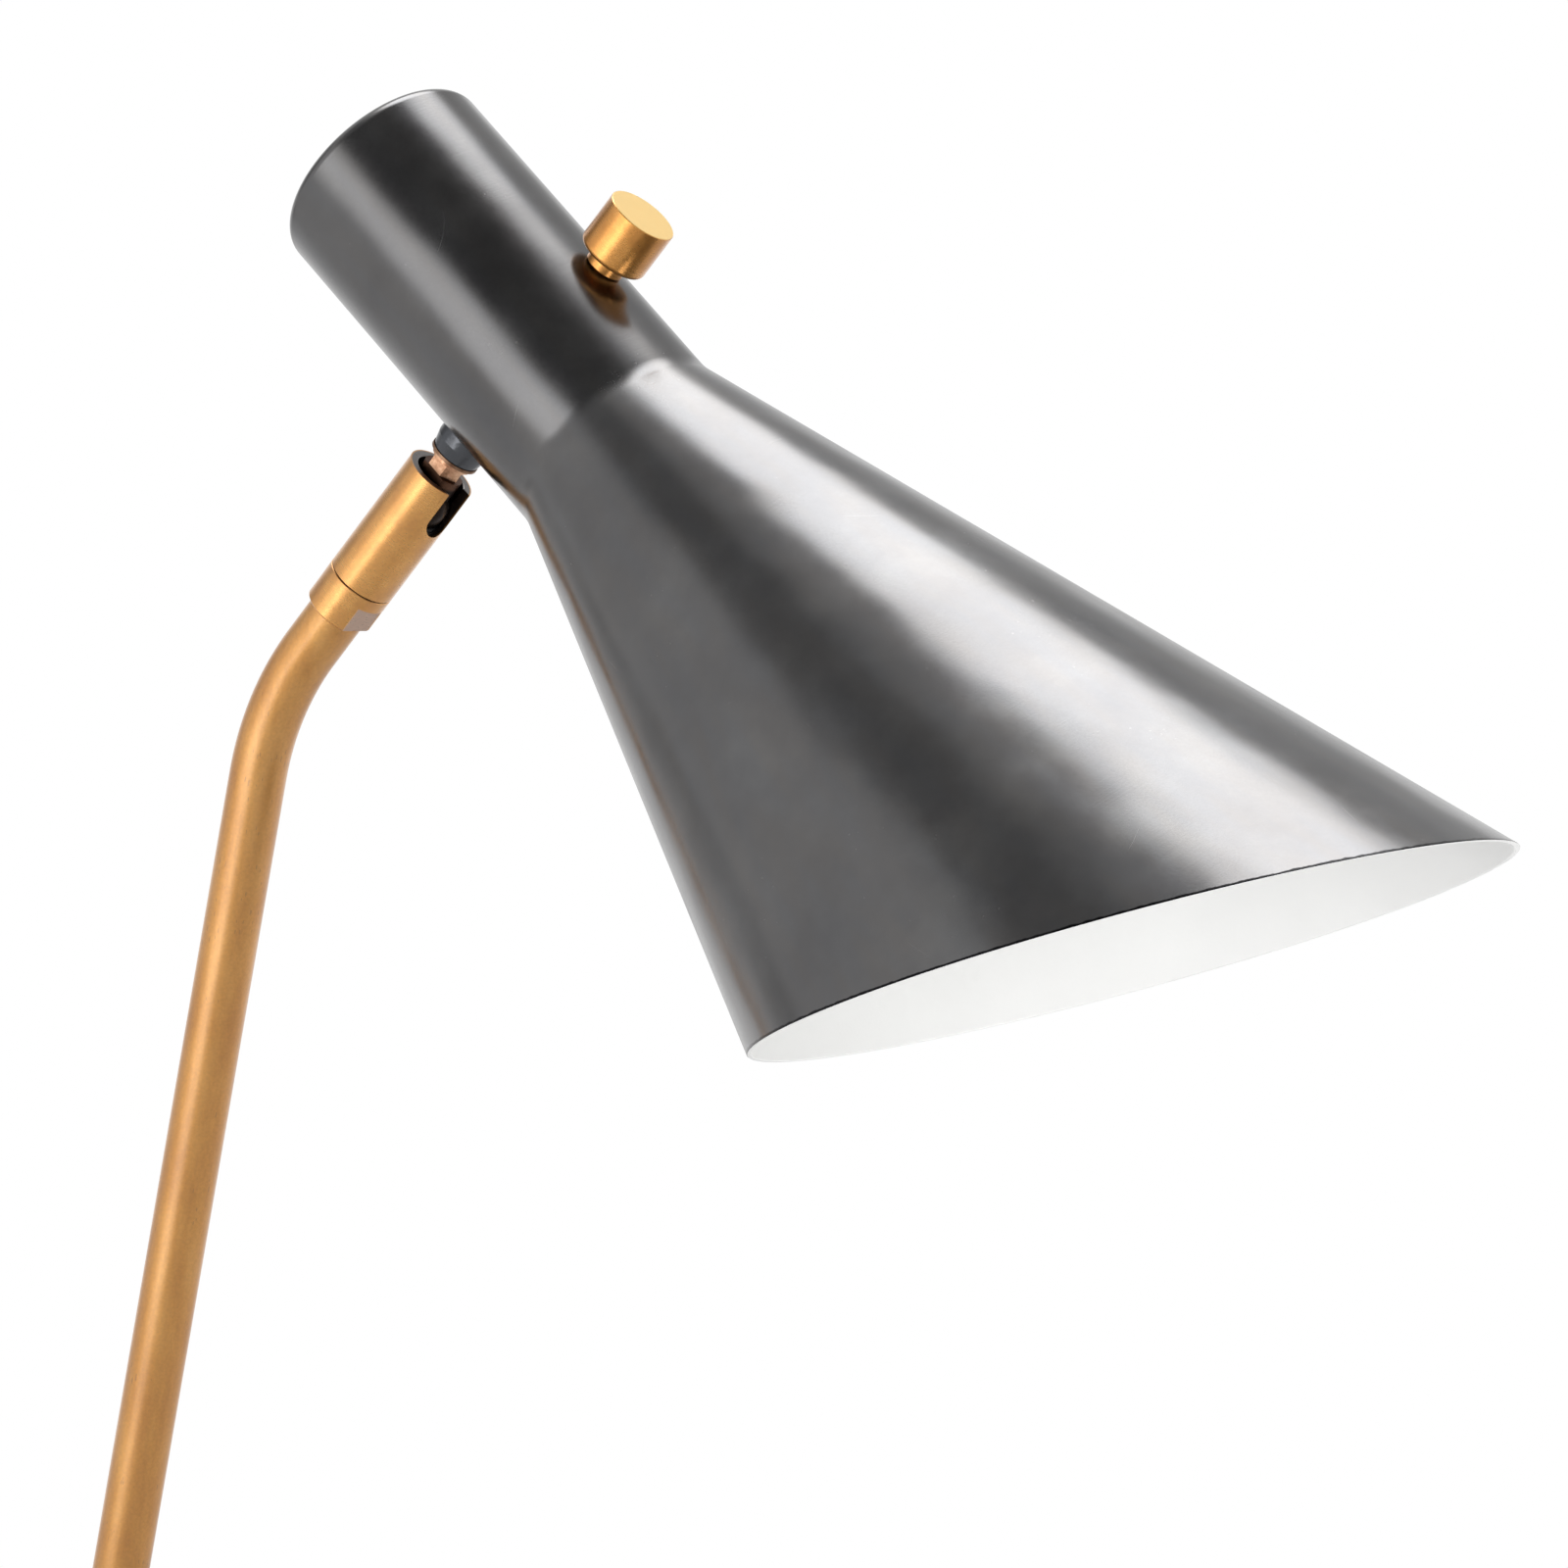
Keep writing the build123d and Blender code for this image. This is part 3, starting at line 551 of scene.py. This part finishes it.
long_lip = lip(1, long_side)
short_lip = lip(-1, short_side)
mouth_slope = (long_lip.y - short_lip.y) / (long_lip.x - short_lip.x)


def mouth_station(angle, radius, station):
    """Where the cone's side at that angle round the neck meets the plane of the mouth."""
    slope = tan(cone_angle)
    swing = cos(angle) * mouth_slope
    apex_radius = radius - station * slope
    reach = short_lip.y + swing * apex_radius - mouth_slope * short_lip.x
    return reach / (1 - swing * slope)


def shade_wall_rows(maker, inset):
    """The rows of one face of the shade's wall, from the middle of its back to its lip."""
    radius = neck_radius - inset
    back = neck_back + inset
    front = neck_front + inset * tan(cone_angle / 2)
    blend = cone_blend + inset
    end = (radius + along_side * sin(cone_angle), front + along_side * cos(cone_angle))
    profile = rounded(
        (0, back), (radius, back, neck_edge - inset), (radius, front, blend), end, steps=12
    )
    profile = profile[:-1]
    start = profile[-1]
    rows = []
    for reach, along in profile:
        count = shade_around if reach > on_axis else 1
        ring = [(2 * pi * step / count, reach, along) for step in range(count)]
        rows.append(ring)
    for row in range(1, cone_rows + 1):
        ring = []
        for step in range(shade_around):
            angle = 2 * pi * step / shade_around
            along = start.y + (mouth_station(angle, radius, front) - start.y) * row / cone_rows
            ring.append((angle, radius + (along - front) * tan(cone_angle), along))
        rows.append(ring)
    # The line's X points away from the knob, so the angle is counted from the knob's side.
    return [
        [maker.verts.new(neck_line @ Vector((-r * cos(a), r * sin(a), z))) for a, r, z in ring]
        for ring in rows
    ]


def mouth_plane():
    """A point in the shade's mouth and the way out of it, square to it."""
    far = Vector((-long_lip.x, 0, long_lip.y))
    near = Vector((-short_lip.x, 0, short_lip.y))
    outward = (near - far).cross(Vector((0, 1, 0))).normalized()
    return neck_line @ far, neck_line.to_3x3() @ outward


def shade_shell():
    """The shade's wall: black metal outside, and white inside and on its edge."""
    maker = bmesh.new()
    outer = shade_wall_rows(maker, 0)
    inner = shade_wall_rows(maker, shade_wall)
    grid(maker, outer)
    inside = grid(maker, inner)
    rim = grid(maker, [outer[-1], inner[-1]])
    for face in inside + rim:
        face.material_index = 1
    return softened(finished(maker, "shade_shell"), edge_bevel)


shade_black = blackened_metal("blackened_shade", neck_line, waves=shade_waves, mouth=mouth_plane())
shell = dress(shade_shell(), shade_black, "head", "blackened_metal", "shade")
shell.data.materials.append(enamel)

# ---- Stem ----

stem_radius = 6.35 * mm
stem_bore = 5.15 * mm
stem_start = 16.2 * mm
foot_to_bend = 440 * mm
bend_radius = 60 * mm
seat_below_neck = 77.55 * mm
straight_steps = 40
bend_steps = 40
stem_around = 96


def stem_path():
    """Points and directions down the middle of the stem, from the base to the ferrule."""
    bend = foot + stem_way * foot_to_bend
    seat = neck_centre - up_arm * seat_below_neck
    aside = stem_line.to_3x3().col[0]
    turn = acos(stem_way.dot(up_arm))
    setback = bend_radius * tan(turn / 2)
    centre = bend - stem_way * setback + aside * bend_radius
    start = foot + stem_way * stem_start
    stride = (bend - stem_way * setback - start).length / straight_steps
    path = [(start + stem_way * stride * step, stem_way) for step in range(straight_steps)]
    for step in range(bend_steps + 1):
        angle = turn * step / bend_steps
        spin = Matrix.Rotation(angle, 3, "Y")
        path.append((centre - spin @ aside * bend_radius, spin @ stem_way))
    path.append((seat, up_arm))
    return path


def stem_tube():
    """The bent tube, up its outside and back down its bore."""
    maker = bmesh.new()
    rows = []
    for radius, path in ((stem_radius, stem_path()), (stem_bore, stem_path()[::-1])):
        for point, heading in path:
            rows.append(circle(maker, line(point, heading), radius, stem_around))
    grid(maker, rows, closed=True)
    return finished(maker, "stem_tube")


dress(stem_tube(), stem_brass, "stand", "aged_brass", "stem")

# ---- Floor, light and camera ----

floor_radius = 1.6
floor_around = 128
floor_drop = 0.5 * mm
fade_start = 0.9
fade_end = 1.55


def studio_floor():
    """A pale disc that fades out at its rim."""
    maker = bmesh.new()
    rows = [
        circle(maker, base_line, radius, floor_around, -floor_drop) for radius in (0.0, floor_radius)
    ]
    grid(maker, rows)
    disc = finished(maker, "studio_floor")
    finish = Finish("pale_floor", Roughness=0.9)
    fibres = finish.noise(60, detail=3.0)
    colour = finish.colours(fibres, (0.3, (0.57, 0.57, 0.57)), (0.7, (0.59, 0.59, 0.59)))
    distance = finish.vector_maths("LENGTH", finish.place, out="Value")
    alpha = finish.ranged(distance, fade_start, fade_end, 1.0, 0.0, smooth=True)
    finish.wire(base_color=colour, alpha=alpha)
    disc.data.materials.append(finish.material)


def way(azimuth, elevation):
    """The direction that a view of that azimuth and elevation is seen from."""
    flat = cos(radians(elevation))
    return Vector((
        sin(radians(azimuth)) * flat, -cos(radians(azimuth)) * flat, sin(radians(elevation))
    ))


def mouth_fill():
    """A square lamp in front of the shade's mouth that lights only what is inside it."""
    size, radiance, distance = 0.2, 1.2, 0.4
    lamp = bpy.data.lights.new("mouth_fill", "AREA")
    lamp.size = size
    lamp.spread = radians(60)
    lamp.energy = radiance * size * size * pi
    holder = bpy.data.objects.new("mouth_fill", lamp)
    mouth = neck_line @ Vector((-(long_lip.x + short_lip.x) / 2, 0, (long_lip.y + short_lip.y) / 2))
    outward = way(65, -20)
    holder.location = mouth + outward * distance
    holder.rotation_euler = outward.to_track_quat("Z", "Y").to_euler()
    holder.visible_camera = False
    bpy.context.scene.collection.objects.link(holder)
    lit = bpy.data.collections.new("inside_the_shade")
    for piece in (shell, frame["nodes"]["bulb_globe"], frame["nodes"]["lampholder"]):
        lit.objects.link(piece)
    holder.light_linking.receiver_collection = lit


class Sky:
    """The room round the lamp: a soft brightness for each direction, white to the camera itself."""

    def __init__(self, level):
        world = bpy.data.worlds.new("studio_room")
        bpy.context.scene.world = world
        world.use_nodes = True
        self.tree = world.node_tree
        self.direction = self.tree.nodes.new("ShaderNodeTexCoord").outputs["Generated"]
        self.level = level

    def calc(self, operation, first, second, kind="ShaderNodeMath", out=0):
        node = self.tree.nodes.new(kind)
        node.operation = operation
        for socket, value in ((0, first), (1, second)):
            if isinstance(value, bpy.types.NodeSocket):
                self.tree.links.new(value, node.inputs[socket])
            else:
                node.inputs[socket].default_value = value
        return node.outputs[out]

    def share(self, towards, inner, outer):
        """One within inner degrees of a direction, falling smoothly to nothing at outer degrees."""
        facing = self.calc("DOT_PRODUCT", self.direction, towards, "ShaderNodeVectorMath", "Value")
        node = self.tree.nodes.new("ShaderNodeMapRange")
        node.interpolation_type = "SMOOTHERSTEP"
        self.tree.links.new(facing, node.inputs[0])
        node.inputs[1].default_value = cos(radians(outer))
        node.inputs[2].default_value = cos(radians(inner))
        return node.outputs[0]

    def patch(self, azimuth, elevation, inner, outer, level):
        """Draws the room's brightness towards a level round a direction."""
        share = self.share(way(azimuth, elevation), inner, outer)
        gap = self.calc("SUBTRACT", level, self.level)
        self.level = self.calc("ADD", self.level, self.calc("MULTIPLY", gap, share))

    def finish(self):
        nodes, links = self.tree.nodes, self.tree.links
        room = nodes["Background"]
        links.new(self.level, room.inputs["Strength"])
        room.inputs["Color"].default_value = (1, 1, 1, 1)
        white = nodes.new("ShaderNodeBackground")
        white.inputs["Color"].default_value = (1, 1, 1, 1)
        mix = nodes.new("ShaderNodeMixShader")
        path = nodes.new("ShaderNodeLightPath")
        links.new(path.outputs["Is Camera Ray"], mix.inputs[0])
        links.new(room.outputs[0], mix.inputs[1])
        links.new(white.outputs[0], mix.inputs[2])
        links.new(mix.outputs[0], nodes["World Output"].inputs["Surface"])


def studio_room():
    """The room's brightness: plain walls, then its dim parts, then its lamps. Each patch is an
    azimuth, an elevation, the degrees it is full within and gone beyond, and a level."""
    sky = Sky(0.78)
    # The wall behind the lamp, its left end, and a dimmer stretch higher up on it.
    sky.patch(180, -5, 35, 75, 0.93)
    sky.patch(-130, -8, 8, 32, 0.95)
    sky.patch(180, 30, 9, 26, 0.62)
    # The low right, the dark ceiling in front, the dim one to the left, and a paler piece of it.
    sky.patch(60, -20, 30, 70, 0.66)
    sky.patch(14, 58, 23, 45, 0.1)
    sky.patch(-40, 60, 10, 28, 0.28)
    sky.patch(-60, 75, 4, 18, 0.62)
    # Two dim places on the left wall.
    sky.patch(-88, 24, 5, 24, 0.4)
    sky.patch(-89, -6, 2, 10, 0.52)
    # A tall lamp in front, in two parts, and a strong one nearly overhead.
    sky.patch(-7, -20, 6, 26, 3.3)
    sky.patch(-20, 9, 5, 24, 2.3)
    sky.patch(-160, 72, 10, 25, 5.2)
    sky.finish()


def portrait_camera():
    """The camera stands level with the shade and looks at the lamp's front quarter."""
    aim_past_swivel = 13.275 * mm
    azimuth, elevation, roll = 34.299, 0.517, radians(-1.182)
    distance, aside, above = 1.4583, -0.0457, 0.0841
    outward = way(azimuth, elevation)
    right = Vector((cos(radians(azimuth)), sin(radians(azimuth)), 0))
    up = outward.cross(right)
    tilted_right = cos(roll) * right + sin(roll) * up
    tilted_up = cos(roll) * up - sin(roll) * right
    aim = neck_centre + along_neck * aim_past_swivel
    spot = aim + outward * distance - tilted_right * aside - tilted_up * above
    lens = bpy.data.cameras.new("camera")
    lens.sensor_width = 36
    lens.lens = 156.37
    lens.clip_start = 0.05
    camera = bpy.data.objects.new("camera", lens)
    turn = Matrix((tilted_right, tilted_up, outward)).transposed()
    camera.matrix_world = Matrix.Translation(spot) @ turn.to_4x4()
    bpy.context.scene.collection.objects.link(camera)
    bpy.context.scene.camera = camera


studio_floor()
studio_room()
mouth_fill()
portrait_camera()
bpy.context.scene.view_settings.view_transform = "Standard"
